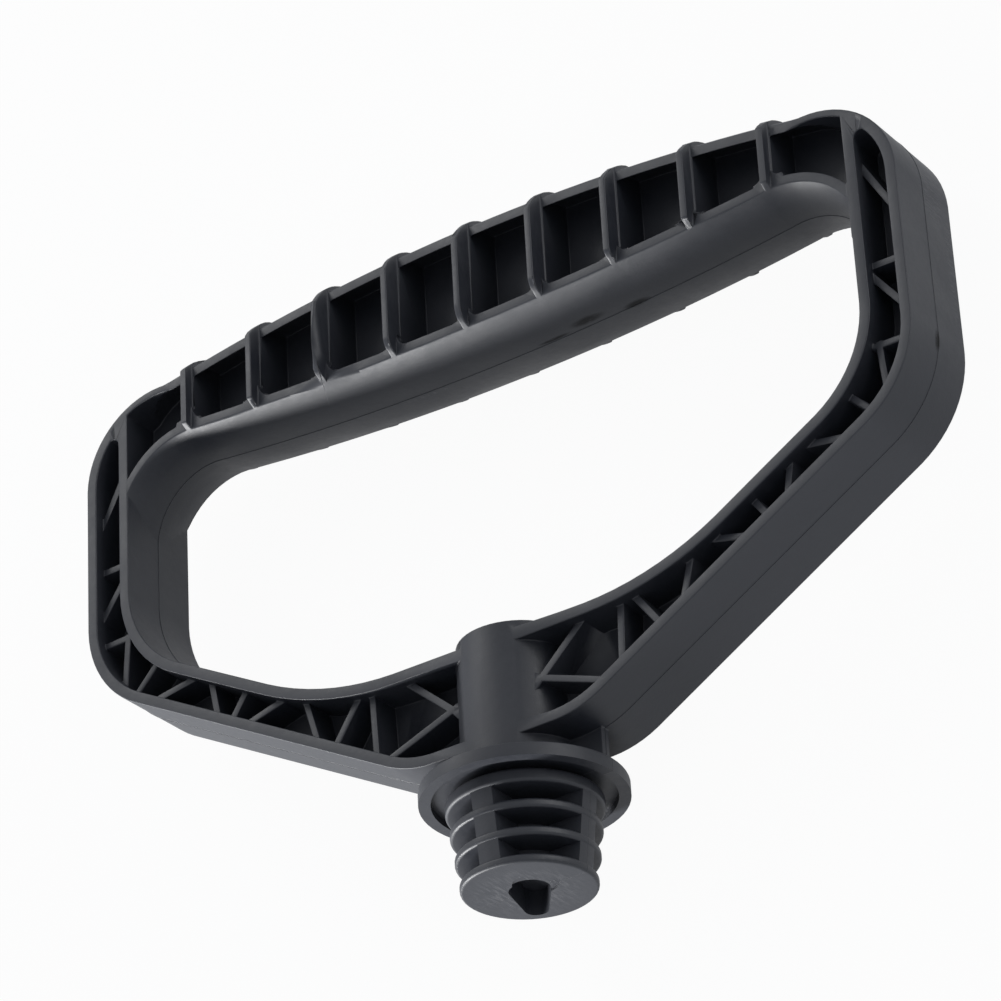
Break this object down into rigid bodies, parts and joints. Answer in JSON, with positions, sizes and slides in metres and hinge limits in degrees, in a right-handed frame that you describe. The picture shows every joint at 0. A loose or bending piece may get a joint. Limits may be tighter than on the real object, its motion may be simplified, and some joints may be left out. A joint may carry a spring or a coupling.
{
  "type": "recoil starter pull handle",
  "caption": "Wide mitten-grip pull handle for a recoil starter: ribbed grip, truss-webbed loop, hollow post for the rope knot, flange and ringed plug.",
  "frame": {"origin": "axis of the rope hole, at the plug's end face where the rope leaves the handle", "axes": "+Y along the rope from the plug to the grip, +X across the handle, +Z out of the front face; the mould parts at Z = 0"},
  "size_m": [0.15, 0.1128, 0.031],
  "materials": {
    "black_plastic": "satin"
  },
  "bodies": {
    "root": {"handle": "black_plastic"}
  },
  "joints": []
}
